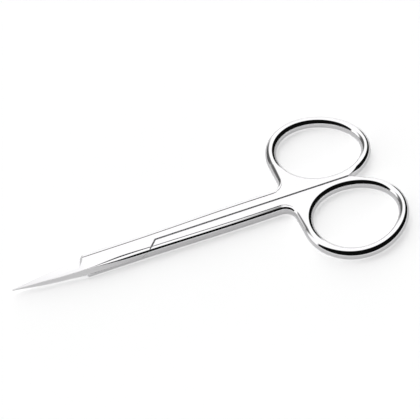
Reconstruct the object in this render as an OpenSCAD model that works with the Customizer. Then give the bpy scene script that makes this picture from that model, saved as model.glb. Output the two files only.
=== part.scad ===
// Cuticle scissors, closed: two forged halves crossed in a half lap and held by one pivot screw.
// The pair lies flat, tips at -X, finger rings at +X, +Z up, origin at the bottom centre.

/* [Overall] */
// Length from the tips to the back of the finger rings
overall_length = 100; // [80:1:125]
// Thickness of the two crossed halves, and of each shank and ring
thickness = 2.9; // [2.6:0.1:3.6]
// Gap between the two closed shanks
split_gap = 0.1; // [0.06:0.02:0.2]
// Clearance between the two blades where they slide on each other
lap_clearance = 0.02; // [0.01:0.01:0.04]

/* [Blades] */
// Distance from the tips to where the blades reach their full width
blade_taper_length = 18.3; // [15:0.1:22]
// Half the width of the crossed blades at the pivot
blade_half_width = 2.85; // [2.6:0.05:3.2]
// Half the width of the very tip
tip_half_width = 0.12; // [0.08:0.01:0.25]
// Height of one blade at its tip, above the lap plane
tip_height = 0.55; // [0.4:0.05:0.8]
// Distance from the tips to where the ground back reaches the full width
spine_length = 24.5; // [20:0.5:30]
// Lean of the ground back of each blade, as run over rise
spine_lean = 0.45; // [0.2:0.05:0.6]
// Slope of the ground bevel that makes the cutting edge
bevel_slope = 0.36; // [0.3:0.02:0.44]
// Thickness left at the cutting edge
edge_land = 0.12; // [0.06:0.02:0.2]

/* [Shanks] */
// Outer half width of the shank beside the finger rings
shank_half_width = 3.3; // [2.9:0.05:3.5]
// Width of the rounded edge of the shank
shank_round = 0.85; // [0.6:0.05:1]
// Distance from the tips to the corner of the lap step
step_from_tip = 37; // [36:0.5:39]
// How far the step slants towards the tips, per millimetre across
step_slant = 0.9; // [0.6:0.05:1]
// How far the step's face runs towards the tips between the top and the middle of the thickness
step_ramp = 1.6; // [0:0.1:2]

/* [Finger rings] */
// Half the length of a finger hole
hole_half_length = 11.2; // [10:0.1:13]
// Half the width of a finger hole
hole_half_width = 9.35; // [8.5:0.05:11]
// How much blunter a hole is towards the blades
hole_egg = -0.07; // [-0.15:0.01:0]
// Turn of each hole's long axis towards the middle, at its back end
hole_turn = -10; // [-15:1:0]
// Distance of a hole's centre from the middle line
hole_offset = 11.7; // [11.5:0.05:13.5]
// Mean width of the ring round a hole
ring_width = 2.75; // [2.5:0.05:3.1]
// How much wider the ring is in front and narrower at the back
ring_width_swing = 0.2; // [0:0.05:0.3]
// Flat crown left on top of the rounded ring
ring_crown = 0.3; // [0.2:0.05:0.5]
// Radius of the fillet between the shank and the ring
web_fillet = 2.75; // [2:0.05:4]

/* [Pivot] */
// Distance from the tips to the pivot
pivot_from_tip = 29; // [28:0.5:30]
// Radius of the screw's plain body, in the lower half
screw_body_r = 1.1; // [1:0.05:1.3]
// Radius of the screw's threaded end, in the upper half
screw_thread_r = 1; // [0.8:0.05:1]
// Radius of the countersunk head
screw_head_r = 1.75; // [1.6:0.05:2]
// Depth of the rim and cone of the head
screw_head_depth = 0.75; // [0.7:0.05:0.9]
// Radial running clearance of the screw in the lower half
screw_clearance = 0.03; // [0.02:0.01:0.06]
// Width of the driver slot
slot_w = 0.5; // [0.4:0.05:0.6]
// Depth of the driver slot
slot_depth = 0.4; // [0.3:0.05:0.45]
// Metal left over the end of the blind threaded hole
thread_cover = 0.5; // [0.3:0.1:0.8]

/* [Hidden] */
mid_z = thickness / 2;
tip_x = -overall_length / 2;
back_x = overall_length / 2;
pivot_x = tip_x + pivot_from_tip;
step_x = tip_x + step_from_tip;
far = overall_length;

// Facets round a bore, and round the screw
round_fn = 48;

// Corner roundness, from a plain ellipse to a squarer corner
ring_roundness = 2;
shank_roundness = 2.8;

// Steps from the top of a rounded edge down to its middle
edge_steps = 6;
edge_angles = [for (i = [-edge_steps : edge_steps]) -90 * i / edge_steps];

// Inset and height of a rounded edge, at an angle up its side
function edge_inset(width, roundness, a) = width * (1 - pow(abs(cos(a)), 2 / roundness));
function edge_height(height, roundness, a) = height * sign(a) * pow(abs(sin(a)), 2 / roundness);

// Finger hole, before it is moved to its centre
function hole_local(t) = [
    hole_half_length * cos(t),
    hole_half_width * sin(t) * (1 + hole_egg * cos(t))
];
function hole_slope(t) = [
    -hole_half_length * sin(t),
    hole_half_width * (cos(t) + hole_egg * cos(2 * t))
];
function turned(p, a) = [p[0] * cos(a) - p[1] * sin(a), p[0] * sin(a) + p[1] * cos(a)];
function unit(p) = p / norm(p);

// Normal of the hole's edge, pointing into the metal
function hole_normal(t) = let (s = turned(hole_slope(t), hole_turn)) unit([s[1], -s[0]]);
function ring_w(t) = ring_width - ring_width_swing * cos(t);

// Reach of the turned hole along X, which sets the centre so that the ring ends at back_x
hole_reach = norm([hole_half_length * cos(hole_turn), hole_half_width * sin(hole_turn)]);
hole_x = back_x - ring_width + ring_width_swing - hole_reach;
function hole_point(t) = [hole_x, hole_offset] + turned(hole_local(t), hole_turn);
function ring_point(t) = hole_point(t) + ring_w(t) * hole_normal(t);

// Angles round the hole where the outline leaves the ring for the web and meets it again
web_start = 192;
web_corner = 208;
web_neck = 222;
ring_start = 277;
web_steps = 4;
fillet_steps = 8;
inner_steps = 14;
ring_steps = 50;

web_front = ring_point(web_start)[0];
fillet_x = web_front - web_fillet;
fillet_y = shank_half_width + web_fillet;
inner_y = ring_point(ring_start)[1];

// Rounding of the ring's outer edge, which fades out where the ring meets its neighbour
least_round = 0.12;
round_at_middle = 0.15;
round_growth = 0.8;
function outer_round(t) = let (full = (ring_w(t) - ring_crown) / 2)
    min(full, max(least_round, round_at_middle + round_growth * ring_point(t)[1]));
function inner_round(t) = (ring_w(t) - ring_crown) / 2;

// One entry per section: angle at the hole, outer point, outer normal, rounding and roundness
ring_part = [for (i = [0 : ring_steps]) let (
    t = ring_start - 360 + i * (web_start - ring_start + 360) / ring_steps
) [t, ring_point(t), hole_normal(t), outer_round(t), ring_roundness]];

web_part = [for (i = [1 : web_steps]) let (
    f = i / web_steps,
    t = web_start + f * (web_corner - web_start),
    y = ring_point(web_start)[1] + f * (fillet_y - ring_point(web_start)[1]),
    round_w = outer_round(web_start) + f * (shank_round - outer_round(web_start)),
    roundness = ring_roundness + f * (shank_roundness - ring_roundness)
) [t, [web_front, y], [-1, 0], round_w, roundness]];

fillet_part = [for (i = [1 : fillet_steps]) let (
    f = i / fillet_steps,
    t = web_corner + f * (web_neck - web_corner),
    n = [-cos(90 * f), sin(90 * f)]
) [t, [fillet_x, fillet_y] - web_fillet * n, n, shank_round, shank_roundness]];

// Inside the shank the outline goes straight back along the middle line to the ring
neck_y = shank_half_width - shank_round;
neck_turn = 2;
inner_turn = 6;
neck_part = [[web_neck + neck_turn, [fillet_x, neck_y], [-1, 0], 0, shank_roundness]];

inner_part = [for (i = [0 : inner_steps]) let (
    f = i / (inner_steps + 1),
    t = web_neck + inner_turn + f * (ring_start - web_neck - inner_turn),
    x = fillet_x + f * (ring_point(ring_start)[0] - fillet_x)
) [t, [x, inner_y], [0, -1], 0, shank_roundness]];

ring_loop = concat(ring_part, web_part, fillet_part, neck_part, inner_part);

// Section across the ring: down the outer edge, then up the edge of the hole
function ring_section(s) = concat(
    [for (a = edge_angles) let (p = s[1] - s[2] * edge_inset(s[3], s[4], a))
        [p[0], p[1], mid_z + edge_height(mid_z, s[4], a)]],
    [for (a = edge_angles) let (p = hole_point(s[0]) + hole_normal(s[0])
        * edge_inset(inner_round(s[0]), ring_roundness, -a))
        [p[0], p[1], mid_z + edge_height(mid_z, ring_roundness, -a)]]
);

// Triangles between section k and the next, for sections of n points
function band(k, next, n) = [for (j = [0 : n - 1]) let (m = (j + 1) % n)
    each [[k * n + j, next * n + j, next * n + m], [k * n + j, next * n + m, k * n + m]]];

module finger_ring() {
    sections = [for (s = ring_loop) ring_section(s)];
    n = len(sections[0]);
    count = len(sections);
    polyhedron(
        points = [for (s = sections) each s],
        faces = [for (k = [0 : count - 1]) each band(k, (k + 1) % count, n)]
    );
}

// Bar that holds the shank and the blade, as sections at distances s from the tips
shank_start = 30;
shank_end = 62;
bar_end = 78;
function ease(f) = 1 - pow(1 - min(1, max(0, f)), 2);
function smooth(f) = let (g = min(1, max(0, f))) g * g * (3 - 2 * g);
function shank_side(s) = blade_half_width + (shank_half_width - blade_half_width)
    * smooth((s - shank_start) / (shank_end - shank_start));
function edge_side(s) = s < blade_taper_length
    ? tip_half_width + (blade_half_width - tip_half_width) * s / blade_taper_length
    : shank_side(s);
function spine_side(s) = tip_half_width + (shank_side(s) - tip_half_width) * ease(s / spine_length);
function bar_height(s) = tip_height + (mid_z - tip_height) * min(1, s / blade_taper_length);

// Blend from the leaning ground back of the blade to the rounded shank
spine_blend_end = 32;
most_lean = 0.7;
function shank_share(s) = smooth((s - blade_taper_length) / (spine_blend_end - blade_taper_length));
function spine_inset(s, a) = let (
    h = edge_height(bar_height(s), shank_roundness, a),
    leaning = min(spine_lean * abs(h), most_lean * spine_side(s)),
    rounded = edge_inset(shank_round, shank_roundness, a)
) leaning + (rounded - leaning) * shank_share(s);
function edge_side_inset(s, a) = edge_inset(min(shank_round, edge_side(s)), shank_roundness, a);

// Stations along the bar: the tapering blade, its full width, and the shank
blade_steps = 8;
shank_steps = 6;
bar_stations = concat(
    [for (i = [0 : blade_steps - 1]) blade_taper_length * i / blade_steps],
    [for (i = [0 : shank_steps - 1])
        blade_taper_length + (spine_blend_end - blade_taper_length) * i / shank_steps],
    [for (i = [0 : shank_steps])
        spine_blend_end + (bar_end - spine_blend_end) * i / shank_steps]
);

// Section across the bar: down the ground back, then up the cutting edge's side
function bar_section(s) = concat(
    [for (a = edge_angles) [tip_x + s, -spine_side(s) + spine_inset(s, a),
        mid_z + edge_height(bar_height(s), shank_roundness, a)]],
    [for (a = edge_angles) [tip_x + s, edge_side(s) - edge_side_inset(s, -a),
        mid_z + edge_height(bar_height(s), shank_roundness, -a)]]
);

module bar() {
    sections = [for (s = bar_stations) bar_section(s)];
    n = len(sections[0]);
    count = len(sections);
    polyhedron(
        points = [for (s = sections) each s],
        faces = concat(
            [for (k = [0 : count - 2]) each band(k, k + 1, n)],
            [[for (j = [0 : n - 1]) j]],
            [[for (j = [n - 1 : -1 : 0]) (count - 1) * n + j]]
        )
    );
}

// Ground bevel: everything above a slope that rises from the cutting edge to the back
bevel_angle = atan2(blade_half_width - tip_half_width, blade_taper_length);
bevel_length = norm([blade_taper_length, blade_half_width]);
// How far the cut reaches past the edge, past the back, and on towards the shank
bevel_past_edge = 0.5;
bevel_reach = 6;
bevel_run_out = 2.6;
bevel_skew = 3;
module bevel_post(x, y, z, h) {
    translate([x - 1, y, z]) cube([1, 0.01, h]);
}
module bevel_cut() {
    fall = -bevel_past_edge * bevel_slope;
    rise = bevel_reach * bevel_slope;
    translate([tip_x, tip_half_width, mid_z + edge_land])
        rotate([0, 0, bevel_angle])
            hull() {
                bevel_post(0, bevel_past_edge, fall, thickness + 1);
                bevel_post(0, -bevel_reach, rise, thickness + 1);
                bevel_post(bevel_length, bevel_past_edge, fall, 0.01);
                bevel_post(bevel_length - bevel_skew, -bevel_reach, rise, 0.01);
                bevel_post(bevel_length + bevel_run_out, bevel_past_edge, thickness, 0.01);
                bevel_post(bevel_length - 1, -bevel_reach, thickness, 0.01);
            }
}

// Leans what is built on the plane z towards the tips, by the step's ramp over half the thickness
module leaning(z, way) {
    translate([0, 0, z])
        multmatrix([[1, 0, way * step_ramp / mid_z, 0], [0, 1, 0, 0], [0, 0, 1, 0]])
            children();
}

// Room of the other half: beside the shank on top, and under the blade and past the step below
module other_half_room() {
    g = split_gap / 2;
    slant = step_slant * far;
    deep = 2 * thickness;
    leaning(thickness, 1)
        translate([0, 0, -deep])
            linear_extrude(2 * deep)
                polygon([[step_x, g], [far, g], [far, -far], [step_x - slant, -far]]);
    leaning(0, -1)
        translate([0, 0, -deep])
            linear_extrude(deep + mid_z + lap_clearance / 2)
                polygon([[step_x, g], [far, g], [far, -far], [-far, -far], [-far, far],
                    [step_x - slant, far]]);
}

// Forged and ground half, with its ring at +Y and its blade above the lap plane
module forging() {
    resize([0, 0, 0])
        difference() {
            union() {
                finger_ring();
                bar();
            }
            bevel_cut();
            other_half_room();
        }
}

// Rim of the countersunk head, how far its face sits inside the lower half, and the thread's end
head_rim = 0.25;
head_sunk = 0.08;
thread_end = thickness - thread_cover;

module upper_half() {
    color("silver")
        difference() {
            forging();
            translate([pivot_x, 0, 0])
                cylinder(r = screw_thread_r, h = thread_end, $fn = round_fn);
        }
}

module lower_half() {
    bore_r = screw_body_r + screw_clearance;
    sink_r = screw_head_r + screw_clearance;
    color("silver")
        difference() {
            translate([0, 0, thickness]) rotate([180, 0, 0]) forging();
            translate([pivot_x, 0, -1]) cylinder(r = bore_r, h = thickness, $fn = round_fn);
            translate([pivot_x, 0, -1]) cylinder(r = sink_r, h = 1 + head_rim, $fn = round_fn);
            translate([pivot_x, 0, head_rim])
                cylinder(r1 = sink_r, r2 = bore_r, h = screw_head_depth - head_rim, $fn = round_fn);
        }
}

module pivot_screw() {
    color("gainsboro")
        translate([pivot_x, 0, 0])
            difference() {
                union() {
                    translate([0, 0, head_sunk])
                        cylinder(r = screw_head_r, h = head_rim - head_sunk, $fn = round_fn);
                    translate([0, 0, head_rim])
                        cylinder(r1 = screw_head_r, r2 = screw_body_r,
                            h = screw_head_depth - head_rim, $fn = round_fn);
                    translate([0, 0, head_rim])
                        cylinder(r = screw_body_r, h = mid_z + lap_clearance / 2 - head_rim, $fn = round_fn);
                    translate([0, 0, mid_z])
                        cylinder(r = screw_thread_r, h = thread_end - mid_z, $fn = round_fn);
                }
                translate([-2 * screw_head_r, -slot_w / 2, -1])
                    cube([4 * screw_head_r, slot_w, 1 + head_sunk + slot_depth]);
            }
}

upper_half();
lower_half();
pivot_screw();
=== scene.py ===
"""Cuticle scissors, closed, lying on a plain pale floor: two polished halves and a pivot screw.

Lengths are in millimetres until a mesh is made, and then in metres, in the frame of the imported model.
"""

import math

import bmesh
import bpy
import numpy as np
from mathutils import Matrix, Vector


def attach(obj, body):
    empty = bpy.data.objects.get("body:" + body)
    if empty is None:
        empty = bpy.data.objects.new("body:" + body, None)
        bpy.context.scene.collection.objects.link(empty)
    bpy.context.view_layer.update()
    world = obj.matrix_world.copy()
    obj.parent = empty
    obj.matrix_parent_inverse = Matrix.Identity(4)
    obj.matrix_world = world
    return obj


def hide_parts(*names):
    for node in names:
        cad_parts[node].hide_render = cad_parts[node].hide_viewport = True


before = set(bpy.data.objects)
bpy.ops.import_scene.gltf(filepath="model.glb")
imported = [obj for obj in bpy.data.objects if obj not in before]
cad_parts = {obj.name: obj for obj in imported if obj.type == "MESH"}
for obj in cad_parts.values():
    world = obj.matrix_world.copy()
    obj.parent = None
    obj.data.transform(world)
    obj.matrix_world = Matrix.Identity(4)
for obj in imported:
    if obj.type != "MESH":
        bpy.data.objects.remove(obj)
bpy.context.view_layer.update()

MM = 0.001

# Overall sizes, the same as in the part's source
LENGTH = 100.0
THICKNESS = 2.9
MID_Z = THICKNESS / 2
TIP_X = -LENGTH / 2
BACK_X = LENGTH / 2
SPLIT_GAP = 0.1
LAP_CLEARANCE = 0.02

# Rooms and bores run this far past the faces that they open
PAST = 1.0

# Points of a mesh that are this close are one point: as built, and after its cuts, in metres
SAME_POINT = 1e-8
CUT_SAME_POINT = 1e-7

# Blades: the edge tapers to the tips, and the ground back leans in, less where the tip is narrow
BLADE_TAPER = 18.3
BLADE_HALF_WIDTH = 2.85
TIP_HALF_WIDTH = 0.12
TIP_HEIGHT = 0.55
SPINE_LENGTH = 24.5
SPINE_LEAN = 0.45
MOST_LEAN = 0.7

# Ground bevel: its slope, and the height of the land along the edge
BEVEL_SLOPE = 0.36
EDGE_LAND = 0.12

# Room over the bevel: how far it reaches from the edge to the back, and past the edge
BEVEL_REACH = 6.0
BEVEL_PAST_EDGE = 0.5

# The room's end is shorter at the back, less so at the top, and its top runs on over the edge
BEVEL_BACK_SHORT = 3.0
BEVEL_BACK_TOP_SHORT = 1.0
BEVEL_TOP_RUN = 2.6

# Shanks: they widen between these distances from the tips, and end inside the ring
SHANK_HALF_WIDTH = 3.3
SHANK_START = 30.0
SHANK_END = 62.0
BAR_END = 78.0
BAR_STATIONS = 60

# Step across a shank: its place, its slant, its lean over half the thickness, and its corner flat
STEP_AT = 37.0
STEP_X = TIP_X + STEP_AT
STEP_SLANT = 0.9
STEP_RAMP = 1.6
STEP_CORNER = 0.4

# Finger rings: an egg-shaped hole, and metal that is widest on the shank's side
HOLE_A = 11.2
HOLE_B = 9.35
HOLE_EGG = -0.07
HOLE_TURN = math.radians(-10)
HOLE_OFFSET = 11.7
RING_WIDTH = 2.75
RING_SWING = 0.2
RING_CROWN = 0.3

# A ring's outer round is narrow at the middle line, and widens with the distance from it
LEAST_ROUND = 0.12
ROUND_AT_MIDDLE = 0.15
ROUND_GROWTH = 0.8

# Web between a ring and its shank: it leaves the ring and meets it again at these angles
WEB_START = math.radians(192)
RING_START = math.radians(277)
WEB_FILLET = 2.75

# Share of the web edge's change that comes before the fillet, and where in the change the line appears
WEB_SHARE = 0.4
WEB_LINE_START = 0.45

# The web's plain end lies this far inside the shank's side
SECTION_IN_SHANK = 1.7

# Stations round the outer wall, along the ring, the web, its fillet and the shank, and round the hole
RING_STATIONS = 260
WEB_STATIONS = 16
FILLET_STATIONS = 44
SHANK_STATIONS = 15
HOLE_STATIONS = 320

# Pivot and its screw, whose head is sunk a little and has a soft edge
PIVOT_X = TIP_X + 29.0
SCREW_BODY_R = 1.1
SCREW_THREAD_R = 1.0
SCREW_HEAD_R = 1.75
SCREW_HEAD_DEPTH = 0.75
SCREW_RIM = 0.25
SCREW_SUNK = 0.08
SCREW_SOFT = 0.06
SCREW_CLEARANCE = 0.03
SLOT_WIDTH = 0.5
SLOT_DEPTH = 0.4
THREAD_END = THICKNESS - 0.5
TURNED_SIDES = 96

# Rolled edge of a shank: a fine scribed line, a shallow strip, and a round down to the side
STRIP_SLOPE = math.radians(9.5)
ROUND_R = 0.62
STRIP_WIDTH = 0.45
LINE_WIDTH = 0.26
LINE_SLOPE = 0.62
LINE_POINTS = 3

# Steps of the rolled edge, down its round and down the side under it
ROUND_STEPS = 26
SIDE_STEPS = 2

# The rolled edge takes at most this share of the cutting side's half width
ROLLED_SHARE = 0.9

# Along the ground back the line, the strip and the round all grow from next to nothing
BACK_LINE_WIDTH = 0.48
BACK_LINE_START = 16.5
BACK_LINE_END = 28.0
BACK_ROUND_START = 17.5
BACK_ROUND_END = 33.0
LEAST_SHARE = 0.02

# Small round on the edges where the two halves face each other
INNER_ROUND = 0.26
INNER_STEPS = 12


def smooth(f):
    g = min(1.0, max(0.0, f))
    return g * g * (3 - 2 * g)


def ease(f):
    return 1 - (1 - min(1.0, max(0.0, f))) ** 2


def mix(a, b, f):
    return a + (b - a) * f


# Side of the shank, of the cutting edge and of the ground back, at distance s from the tips
def shank_side(s):
    share = smooth((s - SHANK_START) / (SHANK_END - SHANK_START))
    return mix(BLADE_HALF_WIDTH, SHANK_HALF_WIDTH, share)


def edge_side(s):
    if s < BLADE_TAPER:
        return mix(TIP_HALF_WIDTH, BLADE_HALF_WIDTH, s / BLADE_TAPER)
    return shank_side(s)


def spine_side(s):
    return mix(TIP_HALF_WIDTH, shank_side(s), ease(s / SPINE_LENGTH))


def bar_height(s):
    return mix(TIP_HEIGHT, MID_Z, min(1.0, s / BLADE_TAPER))


# Half of a side's edge, from the top down to the middle, as (inset, height over the middle)
def rolled_edge(height, line, strip, radius, lean=0.0):
    foot_angle = math.pi / 2 - STRIP_SLOPE
    side_angle = math.atan(lean)
    centre = height - strip * math.tan(STRIP_SLOPE) - radius * math.sin(foot_angle)
    side_height = centre + radius * math.sin(side_angle)
    shift = lean * side_height - radius * (1 - math.cos(side_angle))
    foot = shift + radius * (1 - math.cos(foot_angle)) + strip
    points = [(foot + line, height), (foot + line / 2, height - LINE_SLOPE * line / 2), (foot, height)]
    for i in range(ROUND_STEPS + 1):
        a = mix(foot_angle, side_angle, i / ROUND_STEPS)
        points.append((shift + radius * (1 - math.cos(a)), centre + radius * math.sin(a)))
    for i in range(1, SIDE_STEPS + 1):
        h = side_height * (1 - i / SIDE_STEPS)
        points.append((lean * h, h))
    return points


def upright_edge(height, count):
    return [(0.0, height * (1 - i / (count - 1))) for i in range(count)]


def round_edge(width, height, count):
    points = []
    for i in range(count):
        a = math.pi / 2 * (1 - i / (count - 1))
        points.append((width * (1 - math.cos(a)), height * math.sin(a)))
    return points


def blend_edges(first, second, share):
    return [(mix(a[0], b[0], share), mix(a[1], b[1], share)) for a, b in zip(first, second)]


# Whole side, from the top over the middle down to the bottom
def both_ways(half):
    return half + [(inset, -height) for inset, height in reversed(half[:-1])]


def shank_edge():
    return rolled_edge(MID_Z, LINE_WIDTH, STRIP_WIDTH, ROUND_R)


EDGE_POINTS = len(shank_edge())
EDGE_INSET = shank_edge()[0][0]


def spine_edge(s):
    height = bar_height(s)
    share = max(LEAST_SHARE, smooth((s - BACK_LINE_START) / (BACK_LINE_END - BACK_LINE_START)))
    line = mix(BACK_LINE_WIDTH, LINE_WIDTH, smooth((s - BACK_LINE_END) / (STEP_AT - BACK_LINE_END)))
    upright = smooth((s - BACK_ROUND_START) / (BACK_ROUND_END - BACK_ROUND_START))
    lean = min(SPINE_LEAN, MOST_LEAN * spine_side(s) / height) * (1 - upright)
    return rolled_edge(height, line * share, STRIP_WIDTH * share, ROUND_R * max(LEAST_SHARE, upright), lean)


def cutting_side_edge(s):
    fit = min(1.0, ROLLED_SHARE * edge_side(s) / EDGE_INSET)
    return rolled_edge(bar_height(s), LINE_WIDTH * fit, STRIP_WIDTH * fit, ROUND_R * fit)


# Skin over sections of points: each joins the next, and the ends are closed
def skin(sections):
    count, n = len(sections), len(sections[0])
    points = [p for section in sections for p in section]
    faces = []
    for k in range(count - 1):
        for j in range(n):
            m = (j + 1) % n
            faces.append((k * n + j, (k + 1) * n + j, (k + 1) * n + m, k * n + m))
    faces.append(tuple(range(n)))
    faces.append(tuple((count - 1) * n + j for j in reversed(range(n))))
    return points, faces


# Wall that goes once round: each profile joins the next, and the top and the bottom stay open
def round_wall(profiles):
    count, n = len(profiles), len(profiles[0])
    points = [p for profile in profiles for p in profile]
    faces = []
    for k in range(count):
        after = (k + 1) % count
        for j in range(n - 1):
            faces.append((k * n + j, after * n + j, after * n + j + 1, k * n + j + 1))
    return points, faces


# Blade and shank of a half in one, before the bevel and the other half's room are cut
def bar_skin():
    stations = [0.0]
    for start, end in ((0, BLADE_TAPER), (BLADE_TAPER, STEP_AT), (STEP_AT, BAR_END)):
        stations += list(np.linspace(start, end, BAR_STATIONS))[1:]
    sections = []
    for s in stations:
        x = TIP_X + s
        near = [(x, -spine_side(s) + inset, MID_Z + h) for inset, h in both_ways(spine_edge(s))]
        far = [(x, edge_side(s) - inset, MID_Z + h) for inset, h in both_ways(cutting_side_edge(s))]
        sections.append(near + far[::-1])
    return skin(sections)


def turned(x, y, a):
    return x * math.cos(a) - y * math.sin(a), x * math.sin(a) + y * math.cos(a)


# The ring's back edge ends at the overall length
HOLE_HALF_LENGTH = math.hypot(HOLE_A * math.cos(HOLE_TURN), HOLE_B * math.sin(HOLE_TURN))
HOLE_X = BACK_X - RING_WIDTH + RING_SWING - HOLE_HALF_LENGTH


def hole_point(t):
    x, y = turned(HOLE_A * math.cos(t), HOLE_B * math.sin(t) * (1 + HOLE_EGG * math.cos(t)), HOLE_TURN)
    return np.array([HOLE_X + x, HOLE_OFFSET + y])


# Unit normal of the hole's edge, pointing into the metal
def hole_normal(t):
    x, y = turned(-HOLE_A * math.sin(t), HOLE_B * (math.cos(t) + HOLE_EGG * math.cos(2 * t)), HOLE_TURN)
    n = np.array([y, -x])
    return n / np.linalg.norm(n)


def ring_width(t):
    return RING_WIDTH - RING_SWING * math.cos(t)


def ring_point(t):
    return hole_point(t) + ring_width(t) * hole_normal(t)


# Width of the round on the ring's outer edge
def outer_round(t):
    full = (ring_width(t) - RING_CROWN) / 2
    return min(full, max(LEAST_ROUND, ROUND_AT_MIDDLE + ROUND_GROWTH * ring_point(t)[1]))


# Web's edge between the ring and the shank: the round narrows first, then the line and strip appear
def web_edge(f):
    share = max(LEAST_SHARE, smooth((f - WEB_LINE_START) / (1 - WEB_LINE_START)))
    strip = STRIP_WIDTH * share
    line = LINE_WIDTH * share
    rolled = rolled_edge(MID_Z, line, strip, ROUND_R)[LINE_POINTS:]
    ring_round = round_edge(outer_round(WEB_START), MID_Z - strip * math.tan(STRIP_SLOPE), len(rolled))
    low = blend_edges(ring_round, rolled, smooth(f))
    foot = low[0][0] + strip
    return [(foot + line, MID_Z), (foot + line / 2, MID_Z - LINE_SLOPE * line / 2), (foot, MID_Z)] + low


# Places round the outer wall, as (point, unit normal out of the metal, edge)
def outer_places():
    web_x, web_y = ring_point(WEB_START)
    end_x, end_y = ring_point(RING_START)
    centre = np.array([web_x - WEB_FILLET, SHANK_HALF_WIDTH + WEB_FILLET])
    forward, inward = np.array([-1.0, 0.0]), np.array([0.0, -1.0])
    places = []
    for i in range(RING_STATIONS + 1):
        t = RING_START - math.tau + i * (WEB_START - RING_START + math.tau) / RING_STATIONS
        places.append((ring_point(t), hole_normal(t), round_edge(outer_round(t), MID_Z, EDGE_POINTS)))
    for i in range(1, WEB_STATIONS + 1):
        f = i / WEB_STATIONS
        places.append((np.array([web_x, mix(web_y, centre[1], f)]), forward, web_edge(WEB_SHARE * f)))
    for i in range(1, FILLET_STATIONS + 1):
        f = i / FILLET_STATIONS
        n = np.array([-math.cos(math.pi / 2 * f), math.sin(math.pi / 2 * f)])
        places.append((centre - WEB_FILLET * n, n, web_edge(mix(WEB_SHARE, 1, f))))
    plain = upright_edge(MID_Z, EDGE_POINTS)
    places.append((np.array([centre[0], SHANK_HALF_WIDTH - SECTION_IN_SHANK]), forward, plain))
    for i in range(SHANK_STATIONS):
        places.append((np.array([mix(centre[0], end_x, i / SHANK_STATIONS), end_y]), inward, plain))
    return places


def hole_places():
    places = []
    for i in range(HOLE_STATIONS):
        t = math.tau * i / HOLE_STATIONS
        edge = round_edge((ring_width(t) - RING_CROWN) / 2, MID_Z, EDGE_POINTS)
        places.append((hole_point(t), -hole_normal(t), edge))
    return places


# Wall through such places, from the top of each edge down to the bottom
def wall_through(places):
    profiles = []
    for point, normal, edge in places:
        profiles.append([(*(point - normal * inset), MID_Z + h) for inset, h in both_ways(edge)])
    return round_wall(profiles)


def mesh_object(name, points, faces):
    mesh = bpy.data.meshes.new(name)
    mesh.from_pydata([tuple(c * MM for c in p) for p in points], [], faces)
    mesh.update()
    obj = bpy.data.objects.new(name, mesh)
    bpy.context.scene.collection.objects.link(obj)
    return obj


def outward(obj):
    bm = bmesh.new()
    bm.from_mesh(obj.data)
    bmesh.ops.remove_doubles(bm, verts=bm.verts, dist=SAME_POINT)
    bmesh.ops.recalc_face_normals(bm, faces=bm.faces)
    if bm.calc_volume(signed=True) < 0:
        bmesh.ops.reverse_faces(bm, faces=bm.faces)
    bm.to_mesh(obj.data)
    bm.free()
    return obj


# Ring with its level top and bottom filled between the outer wall and the hole
def ring_solid(name):
    outer, outer_faces = wall_through(outer_places())
    inner, inner_faces = wall_through(hole_places())
    shifted = [tuple(len(outer) + i for i in face) for face in inner_faces]
    obj = mesh_object(name, outer + inner, outer_faces + shifted)
    bm = bmesh.new()
    bm.from_mesh(obj.data)
    bmesh.ops.remove_doubles(bm, verts=bm.verts, dist=SAME_POINT)
    for top in (True, False):
        rim = [e for e in bm.edges if e.is_boundary and (e.verts[0].co.z > MID_Z * MM) == top]
        bmesh.ops.triangle_fill(bm, use_beauty=True, use_dissolve=False, edges=rim)
    bm.to_mesh(obj.data)
    bm.free()
    return outward(obj)


# Upright solid over a plan outline that may change with height, from (outline, height) levels
def upright_solid(name, levels):
    n = len(levels[0][0])
    points = [(x, y, z) for outline, z in levels for x, y in outline]
    faces = [tuple(reversed(range(n))), tuple(range((len(levels) - 1) * n, len(levels) * n))]
    for k in range(len(levels) - 1):
        for i in range(n):
            j = (i + 1) % n
            faces.append((k * n + i, k * n + j, (k + 1) * n + j, (k + 1) * n + i))
    return outward(mesh_object(name, points, faces))


# Turned solid round the pivot, from (radius, height) points
def turned_solid(name, profile):
    angles = [math.tau * i / TURNED_SIDES for i in range(TURNED_SIDES)]
    levels = [([(PIVOT_X + r * math.cos(a), r * math.sin(a)) for a in angles], z) for r, z in profile]
    return upright_solid(name, levels)


def apply_modifiers(obj):
    evaluated = obj.evaluated_get(bpy.context.evaluated_depsgraph_get())
    mesh = bpy.data.meshes.new_from_object(evaluated)
    obj.modifiers.clear()
    obj.data = mesh
    return obj


def combine(obj, other, operation):
    modifier = obj.modifiers.new(operation, "BOOLEAN")
    modifier.object = other
    modifier.operation = operation
    modifier.solver = "MANIFOLD"
    apply_modifiers(obj)
    bpy.data.objects.remove(other)
    return obj


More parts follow.
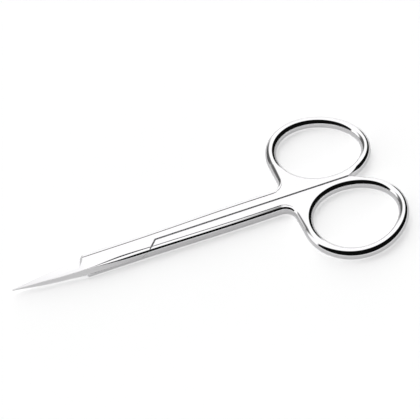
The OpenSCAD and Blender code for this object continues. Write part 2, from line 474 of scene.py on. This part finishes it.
# Ground bevel: the room above a slope that rises from the cutting edge to the back
def bevel_room():
    angle = math.atan2(BLADE_HALF_WIDTH - TIP_HALF_WIDTH, BLADE_TAPER)
    cut = math.hypot(BLADE_TAPER, BLADE_HALF_WIDTH)
    edge, back = BEVEL_PAST_EDGE, -BEVEL_REACH
    fall, rise = -BEVEL_PAST_EDGE * BEVEL_SLOPE, BEVEL_REACH * BEVEL_SLOPE
    top = THICKNESS + PAST
    corners = [(-PAST, edge, fall), (-PAST, edge, top), (-PAST, back, rise), (-PAST, back, top)]
    corners += [(cut, edge, fall), (cut, edge, top), (cut - BEVEL_BACK_SHORT, back, rise)]
    corners += [(cut - BEVEL_BACK_SHORT, back, top), (cut + BEVEL_TOP_RUN, edge, top)]
    corners += [(cut - BEVEL_BACK_TOP_SHORT, back, top)]
    bm = bmesh.new()
    place = Matrix.Translation((TIP_X, TIP_HALF_WIDTH, MID_Z + EDGE_LAND)) @ Matrix.Rotation(angle, 4, "Z")
    for corner in corners:
        bm.verts.new(place @ Vector(corner) * MM)
    bmesh.ops.convex_hull(bm, input=bm.verts)
    bmesh.ops.recalc_face_normals(bm, faces=bm.faces)
    mesh = bpy.data.meshes.new("bevel_room")
    bm.to_mesh(mesh)
    bm.free()
    obj = bpy.data.objects.new("bevel_room", mesh)
    bpy.context.scene.collection.objects.link(obj)
    return obj


# Growth of the other half's room at a face of this half, as (growth, distance under the face)
def inner_round():
    angles = [math.pi / 2 * i / INNER_STEPS for i in range(INNER_STEPS + 1)]
    return [(INNER_ROUND * (1 - math.cos(a)), INNER_ROUND * (1 - math.sin(a))) for a in angles]


# Room of the other half: beside the shank on top, and under the blade and past the step below
def other_half_rooms():
    g = SPLIT_GAP / 2
    far = LENGTH
    slant = STEP_SLANT * far
    across = math.hypot(1, STEP_SLANT)
    low = MID_Z + LAP_CLEARANCE / 2
    ramp = STEP_RAMP / MID_Z

    def beside(o, z):
        corner = STEP_X + (STEP_SLANT - across) * o - ramp * (THICKNESS - z)
        return [(corner, g + o), (far, g + o), (far, -far), (corner - slant, -far - o)]

    def below(o, z):
        corner = STEP_X + (across - STEP_SLANT) * o - ramp * z
        y = SHANK_HALF_WIDTH - STEP_CORNER
        x = corner - STEP_SLANT * (y - g - o)
        past = [(x + STEP_CORNER, far), (x + STEP_CORNER, SHANK_HALF_WIDTH), (x, y)]
        return [(corner, g + o), (far, g + o), (far, -far), (-far, -far), (-far, far)] + past

    heights = [(0, low - PAST)] + [(o, THICKNESS - under) for o, under in inner_round()]
    on_top = [(beside(o, z), z) for o, z in heights + [(INNER_ROUND, THICKNESS + 2 * PAST)]]
    heights = [(0, low)] + [(o, under) for o, under in inner_round()]
    underneath = [(below(o, z), z) for o, z in heights + [(INNER_ROUND, -far)]]
    return [upright_solid("beside", on_top), upright_solid("below", underneath[::-1])]


def forged_half(name):
    half = ring_solid(name)
    combine(half, outward(mesh_object("bar", *bar_skin())), "UNION")
    combine(half, bevel_room(), "DIFFERENCE")
    for room in other_half_rooms():
        combine(half, room, "DIFFERENCE")
    return half


# Smooth shading, with the ground and stepped edges kept crisp
CRISP_ANGLE = math.radians(9)


def shade(obj):
    bm = bmesh.new()
    bm.from_mesh(obj.data)
    bmesh.ops.remove_doubles(bm, verts=bm.verts, dist=CUT_SAME_POINT)
    for face in bm.faces:
        face.smooth = True
    for edge in bm.edges:
        edge.smooth = len(edge.link_faces) == 2 and edge.calc_face_angle(0.0) < CRISP_ANGLE
    bm.to_mesh(obj.data)
    bm.free()
    modifier = obj.modifiers.new("even_normals", "WEIGHTED_NORMAL")
    modifier.keep_sharp = True
    apply_modifiers(obj)
    return flatten_tops(obj)


# The large level faces keep an exactly level shading
LEVEL = 0.99999


def flatten_tops(obj):
    mesh = obj.data
    normals = [corner.vector.copy() for corner in mesh.corner_normals]
    for face in mesh.polygons:
        if abs(face.normal.z) > LEVEL:
            for corner in face.loop_indices:
                normals[corner] = Vector((0, 0, math.copysign(1, face.normal.z)))
    mesh.normals_split_custom_set(normals)
    return obj


class Nodes:
    """One node tree in the making."""

    def __init__(self, tree):
        self.tree = tree
        tree.nodes.clear()

    def feed(self, socket, value):
        if isinstance(value, bpy.types.NodeSocket):
            self.tree.links.new(value, socket)
        else:
            socket.default_value = value

    # New node with its settings, and with the values or the outputs that go into its sockets
    def add(self, kind, inputs=None, **settings):
        node = self.tree.nodes.new(kind)
        for name, value in settings.items():
            setattr(node, name, value)
        for socket, value in (inputs or {}).items():
            self.feed(node.inputs[socket], value)
        return node

    def compute(self, operation, *values):
        return self.add("ShaderNodeMath", dict(enumerate(values)), operation=operation).outputs[0]

    # A mix node keeps its two colours in its seventh and eighth sockets, and the mixed one in its third
    def mix_colours(self, share, first, second):
        node = self.add("ShaderNodeMix", {0: share, 6: first, 7: second}, data_type="RGBA")
        return node.outputs[2]


def grey(value):
    return (value, value, value, 1)


# Pointiness from which an edge gets the painted highlight, and at which the painted highlight is full
EDGE_HIGHLIGHT_FROM = 0.52
EDGE_HIGHLIGHT_FULL = 0.62


# Fine polishing marks, broad haze, and a painted highlight that lightens sharp edges, as masks and values
def polish_group():
    tree = bpy.data.node_groups.new("steel_polish", "ShaderNodeTree")
    for name, value in (("Mark Scale", 900.0), ("Mark Length", 14.0), ("Haze Scale", 90.0), ("Highlight Strength", 0.5)):
        socket = tree.interface.new_socket(name, in_out="INPUT", socket_type="NodeSocketFloat")
        socket.default_value = value
    for name in ("Marks", "Haze", "Painted Edge Highlight"):
        tree.interface.new_socket(name, in_out="OUTPUT", socket_type="NodeSocketFloat")
    n = Nodes(tree)
    given = n.add("NodeGroupInput").outputs
    place = n.add("ShaderNodeTexCoord").outputs["Object"]
    shorten = n.compute("DIVIDE", 1.0, given["Mark Length"])
    stretch = n.add("ShaderNodeCombineXYZ", {"X": shorten, "Y": 1.0, "Z": 1.0}).outputs[0]
    along = n.add("ShaderNodeVectorMath", {0: place, 1: stretch}, operation="MULTIPLY").outputs[0]
    fine = {"Vector": along, "Scale": given["Mark Scale"], "Detail": 3.0, "Roughness": 0.6}
    broad = {"Vector": place, "Scale": given["Haze Scale"], "Detail": 2.0, "Roughness": 0.5}
    marks = n.add("ShaderNodeTexNoise", fine).outputs["Fac"]
    haze = n.add("ShaderNodeTexNoise", broad).outputs["Fac"]
    pointed = n.add("ShaderNodeNewGeometry").outputs["Pointiness"]
    # The edge mask marks where sharp edges get a painted highlight
    limits = {"Value": pointed, "From Min": EDGE_HIGHLIGHT_FROM, "From Max": EDGE_HIGHLIGHT_FULL}
    edge = n.add("ShaderNodeMapRange", limits).outputs["Result"]
    painted_highlight = n.compute("MULTIPLY", edge, given["Highlight Strength"])
    n.add("NodeGroupOutput", {"Marks": marks, "Haze": haze, "Painted Edge Highlight": painted_highlight})
    return tree


# Depth of the polishing marks, in metres
MARK_DEPTH = 0.00002


# Steel of a colour, painted lighter on its sharp edges as a painted highlight, with a roughness that the
# haze raises by its spread, and marks in its polish
def steel(name, polish, colour, painted_highlight_colour, roughness, spread, marks):
    material = bpy.data.materials.new(name)
    material.use_nodes = True
    n = Nodes(material.node_tree)
    masks = n.add("ShaderNodeGroup", node_tree=polish).outputs
    # Sharp edges take the lighter second colour: a painted highlight
    tint = n.mix_colours(masks["Painted Edge Highlight"], (*colour, 1), (*painted_highlight_colour, 1))
    limits = {"Value": masks["Haze"], "To Min": roughness, "To Max": roughness + spread}
    rough = n.add("ShaderNodeMapRange", limits).outputs["Result"]
    depth = {"Height": masks["Marks"], "Strength": marks, "Distance": MARK_DEPTH}
    normal = n.add("ShaderNodeBump", depth).outputs["Normal"]
    finish = {"Base Color": tint, "Metallic": 1.0, "Roughness": rough, "Normal": normal}
    surface = n.add("ShaderNodeBsdfPrincipled", finish).outputs[0]
    n.add("ShaderNodeOutputMaterial", {"Surface": surface})
    return material


def mirror_polished_steel(polish):
    # The second colour is the painted highlight on sharp edges
    colour, painted_highlight = (0.84, 0.835, 0.845), (0.9, 0.9, 0.9)
    return steel("mirror_polished_steel", polish, colour, painted_highlight, roughness=0.03, spread=0.03, marks=0.02)


def turned_screw_steel(polish):
    # The second colour is the painted highlight on sharp edges
    colour, painted_highlight = (0.78, 0.775, 0.78), (0.88, 0.88, 0.88)
    return steel("turned_screw_steel", polish, colour, painted_highlight, roughness=0.12, spread=0.08, marks=0.1)


def make_upper_half():
    half = forged_half("upper_half_steel")
    bore = [(SCREW_THREAD_R, -PAST), (SCREW_THREAD_R, THREAD_END)]
    combine(half, turned_solid("thread_bore", bore), "DIFFERENCE")
    return shade(half)


def make_lower_half():
    half = forged_half("lower_half_steel")
    half.data.transform(Matrix.Translation((0, 0, THICKNESS * MM)) @ Matrix.Rotation(math.pi, 4, "X"))
    bore = SCREW_BODY_R + SCREW_CLEARANCE
    sink = SCREW_HEAD_R + SCREW_CLEARANCE
    profile = [(sink, -PAST), (sink, SCREW_RIM), (bore, SCREW_HEAD_DEPTH), (bore, THICKNESS + PAST)]
    combine(half, turned_solid("screw_sink", profile), "DIFFERENCE")
    return shade(half)


# What the screw's node tree takes: radii, heights over the floor, and the slot
SCREW_SIZES = {
    "Pivot X": PIVOT_X,
    "Head Radius": SCREW_HEAD_R,
    "Soft Edge": SCREW_SOFT,
    "Head Start": SCREW_SUNK,
    "Rim End": SCREW_RIM,
    "Head End": SCREW_HEAD_DEPTH,
    "Body Radius": SCREW_BODY_R,
    "Body End": MID_Z + LAP_CLEARANCE / 2,
    "Thread Radius": SCREW_THREAD_R,
    "Thread End": THREAD_END,
    "Slot Width": SLOT_WIDTH,
    "Slot End": SCREW_SUNK + SLOT_DEPTH,
}


# Screw as turned lengths, one on the other from the head to the thread's end, with a slot across the head
def screw_tree(material):
    tree = bpy.data.node_groups.new("slotted_screw", "GeometryNodeTree")
    for name in SCREW_SIZES:
        tree.interface.new_socket(name, in_out="INPUT", socket_type="NodeSocketFloat")
    tree.interface.new_socket("Screw", in_out="OUTPUT", socket_type="NodeSocketGeometry")
    n = Nodes(tree)
    size = n.add("NodeGroupInput").outputs
    head, soft, start = size["Head Radius"], size["Soft Edge"], size["Head Start"]
    body, thread = size["Body Radius"], size["Thread Radius"]

    def placed(mesh, height):
        place = n.add("ShaderNodeCombineXYZ", {"X": size["Pivot X"], "Z": height}).outputs[0]
        return n.add("GeometryNodeTransform", {"Geometry": mesh, "Translation": place}).outputs[0]

    def disc(radius):
        round_face = {"Vertices": TURNED_SIDES, "Radius": radius}
        return n.add("GeometryNodeMeshCircle", round_face, fill_type="NGON").outputs[0]

    def turned_length(first, second):
        (radius, height), (next_radius, next_height) = first, second
        depth = n.compute("SUBTRACT", next_height, height)
        wall = {"Vertices": TURNED_SIDES, "Radius Bottom": radius, "Radius Top": next_radius, "Depth": depth}
        return placed(n.add("GeometryNodeMeshCone", wall, fill_type="NONE").outputs[0], height)

    turns = [
        (n.compute("MULTIPLY_ADD", soft, -2.0, head), start),
        (n.compute("MULTIPLY_ADD", soft, -0.5, head), n.compute("MULTIPLY_ADD", soft, 0.5, start)),
        (head, n.compute("ADD", start, soft)),
        (head, size["Rim End"]),
        (body, size["Head End"]),
        (body, size["Body End"]),
        (thread, size["Body End"]),
        (thread, size["Thread End"]),
    ]
    (head_radius, head_height), (end_radius, end_height) = turns[0], turns[-1]
    head_face = n.add("GeometryNodeFlipFaces", {"Mesh": disc(head_radius)}).outputs[0]
    parts = [turned_length(first, second) for first, second in zip(turns, turns[1:])]
    parts += [placed(head_face, head_height), placed(disc(end_radius), end_height)]
    joined = n.add("GeometryNodeJoinGeometry")
    for part in parts:
        n.feed(joined.inputs[0], part)
    closed = n.add("GeometryNodeMergeByDistance", {"Geometry": joined.outputs[0], "Distance": SAME_POINT})

    # The slot's room reaches past the head on both sides, and as far under the floor as over it
    reach = {"X": n.compute("MULTIPLY", head, 4.0), "Y": size["Slot Width"]}
    reach["Z"] = n.compute("MULTIPLY", size["Slot End"], 2.0)
    slot = n.add("GeometryNodeMeshCube", {"Size": n.add("ShaderNodeCombineXYZ", reach).outputs[0]})
    cut = n.add("GeometryNodeMeshBoolean", operation="DIFFERENCE", solver="MANIFOLD")
    n.feed(cut.inputs["Mesh 1"], closed.outputs[0])
    n.feed(cut.inputs["Mesh 2"], placed(slot.outputs[0], 0.0))
    whole = n.add("GeometryNodeRealizeInstances", {"Geometry": cut.outputs[0]}).outputs[0]
    finished = n.add("GeometryNodeSetMaterial", {"Geometry": whole, "Material": material}).outputs[0]
    n.add("NodeGroupOutput", {"Screw": finished})
    return tree


def make_pivot_screw(material):
    screw = mesh_object("pivot_screw_steel", [], [])
    modifier = screw.modifiers.new("turning", "NODES")
    modifier.node_group = screw_tree(material)
    for socket in modifier.node_group.interface.items_tree:
        if socket.name in SCREW_SIZES:
            modifier[socket.identifier] = SCREW_SIZES[socket.name] * MM
    return shade(apply_modifiers(screw))


def give_finish(obj, material):
    obj.data.materials.clear()
    obj.data.materials.append(material)


steel_polish = polish_group()
mirror_steel = mirror_polished_steel(steel_polish)
turned_steel = turned_screw_steel(steel_polish)

for piece, material, body, node, slot in (
    (make_upper_half(), mirror_steel, "upper", "upper_half", "polished_steel"),
    (make_lower_half(), mirror_steel, "lower", "lower_half", "polished_steel"),
    (make_pivot_screw(turned_steel), turned_steel, "upper", "pivot_screw", "screw_steel"),
):
    give_finish(piece, material)
    give_finish(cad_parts[node], material)
    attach(piece, body)
    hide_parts(node)


# Camera at the photograph's angle, which sees the frame's origin at this column and row of the picture
PICTURE = 420.0
CENTRE_X = 205.1
CENTRE_Y = 230.3
PIXELS_PER_MM = 3.9615
CAMERA_DISTANCE = 269.0
ELEVATION = math.radians(52.3)
TURN = math.radians(15.4)
ROLL = math.radians(-6.0)
SENSOR = 36.0
CLIP_START = 0.01


def make_camera():
    across = Vector((math.cos(TURN), -math.sin(TURN), 0))
    away = Vector((math.sin(TURN), math.cos(TURN), 0))
    up = away * math.sin(ELEVATION) + Vector((0, 0, 1)) * math.cos(ELEVATION)
    into = away * math.cos(ELEVATION) - Vector((0, 0, 1)) * math.sin(ELEVATION)
    side = across * math.cos(ROLL) + up * math.sin(ROLL)
    head = up * math.cos(ROLL) - across * math.sin(ROLL)
    data = bpy.data.cameras.new("camera")
    data.sensor_width = SENSOR
    data.lens = PIXELS_PER_MM * CAMERA_DISTANCE * SENSOR / PICTURE
    data.shift_x = -(CENTRE_X - PICTURE / 2) / PICTURE
    data.shift_y = (CENTRE_Y - PICTURE / 2) / PICTURE
    data.clip_start = CLIP_START
    camera = bpy.data.objects.new("camera", data)
    bpy.context.scene.collection.objects.link(camera)
    place = Matrix((side, head, -into)).transposed().to_4x4()
    place.translation = -into * CAMERA_DISTANCE * MM
    camera.matrix_world = place
    bpy.context.scene.camera = camera


make_camera()


# Floor: white to the camera and in the steel, with the soft shadow of the object
FLOOR_REACH = 1500.0
FLOOR_DROP = 0.02
FLOOR_GREY = 0.9
FLOOR_DEEPER_SHADOW = 0.55
FLOOR_TO_CAMERA = 0.52
FLOOR_IN_STEEL = 0.34


def make_floor():
    r, z = FLOOR_REACH, -FLOOR_DROP
    floor = mesh_object("floor", [(-r, -r, z), (r, -r, z), (r, r, z), (-r, r, z)], [(0, 1, 2, 3)])
    material = bpy.data.materials.new("white_floor")
    material.use_nodes = True
    n = Nodes(material.node_tree)

    def matt(value):
        return n.add("ShaderNodeBsdfDiffuse", {"Color": grey(value)}).outputs[0]

    def added(first, second):
        return n.add("ShaderNodeAddShader", {0: first, 1: second}).outputs[0]

    plain = matt(FLOOR_GREY)
    rays = n.add("ShaderNodeLightPath").outputs
    surface = plain
    for ray, base, strength in (
        ("Is Glossy Ray", plain, FLOOR_IN_STEEL),
        ("Is Camera Ray", added(plain, matt(FLOOR_DEEPER_SHADOW)), FLOOR_TO_CAMERA),
    ):
        glow = n.add("ShaderNodeEmission", {"Strength": strength}).outputs[0]
        surface = n.add("ShaderNodeMixShader", {0: rays[ray], 1: surface, 2: added(base, glow)}).outputs[0]
    n.add("ShaderNodeOutputMaterial", {"Surface": surface})
    floor.data.materials.append(material)


make_floor()


# Studio: a white tent with a dark opening on the camera's side and a grey card on the left
TENT_WHITE = 1.2
CAMERA_AZIMUTH = math.radians(270) - TURN

# The opening is wide low down and narrower past overhead, and starts a little over the floor
OPENING_DARK = 0.004
OPENING_TURN = math.radians(39)
OPENING_REACH = -0.38
OPENING_NARROWS = 0.62
OPENING_NARROWS_FROM = 0.6
OPENING_SOFTNESS = 0.04
OPENING_FOOT = 0.04
OPENING_FOOT_END = 0.14

# The card stands on the floor, is soft at its sides, and fades out from 44 to 58 degrees up
CARD_GREY = 0.12
CARD_TURN = math.radians(-133)
CARD_HALF_TURN = math.radians(22)
CARD_FADE_TURN = 0.4 * CARD_HALF_TURN
CARD_TOP = 0.7
CARD_TOP_END = 0.85
LEAST_LEVEL = 0.01


def make_studio():
    world = bpy.data.worlds.new("white_tent")
    bpy.context.scene.world = world
    world.use_nodes = True
    n = Nodes(world.node_tree)
    way = n.add("ShaderNodeTexCoord").outputs["Generated"]
    height = n.add("ShaderNodeSeparateXYZ", {0: way}).outputs["Z"]

    def rising(value, low, high):
        limits = {"Value": value, "From Min": low, "From Max": high}
        return n.add("ShaderNodeMapRange", limits, interpolation_type="SMOOTHSTEP").outputs["Result"]

    def along(azimuth):
        sockets = {0: way, 1: (math.cos(azimuth), math.sin(azimuth), 0)}
        return n.add("ShaderNodeVectorMath", sockets, operation="DOT_PRODUCT").outputs["Value"]

    def opening():
        high = n.compute("MAXIMUM", n.compute("SUBTRACT", height, OPENING_NARROWS_FROM), 0.0)
        edge = n.compute("MULTIPLY_ADD", high, OPENING_NARROWS, OPENING_REACH)
        inside = n.compute("SUBTRACT", along(CAMERA_AZIMUTH + OPENING_TURN), edge)
        across = rising(inside, -OPENING_SOFTNESS, OPENING_SOFTNESS)
        return n.compute("MULTIPLY", across, rising(height, OPENING_FOOT, OPENING_FOOT_END))

    def card():
        level = n.compute("SQRT", n.compute("SUBTRACT", 1.0, n.compute("MULTIPLY", height, height)))
        level = n.compute("MAXIMUM", level, LEAST_LEVEL)
        turned_to = n.compute("DIVIDE", along(CAMERA_AZIMUTH + CARD_TURN), level)
        side = math.cos(CARD_HALF_TURN + CARD_FADE_TURN)
        across = rising(turned_to, side, math.cos(CARD_HALF_TURN - CARD_FADE_TURN))
        under_top = n.compute("SUBTRACT", 1.0, rising(height, CARD_TOP, CARD_TOP_END))
        return n.compute("MULTIPLY", across, under_top)

    walls = n.mix_colours(card(), grey(TENT_WHITE), grey(CARD_GREY))
    tone = n.mix_colours(opening(), walls, grey(OPENING_DARK))
    lit = n.add("ShaderNodeBackground", {"Color": tone}).outputs[0]
    plain = n.add("ShaderNodeBackground", {"Color": grey(1)}).outputs[0]
    to_camera = n.add("ShaderNodeLightPath").outputs["Is Camera Ray"]
    seen = n.add("ShaderNodeMixShader", {0: to_camera, 1: lit, 2: plain}).outputs[0]
    n.add("ShaderNodeOutputWorld", {"Surface": seen})


make_studio()

bpy.context.scene.view_settings.view_transform = "Standard"
bpy.context.view_layer.update()
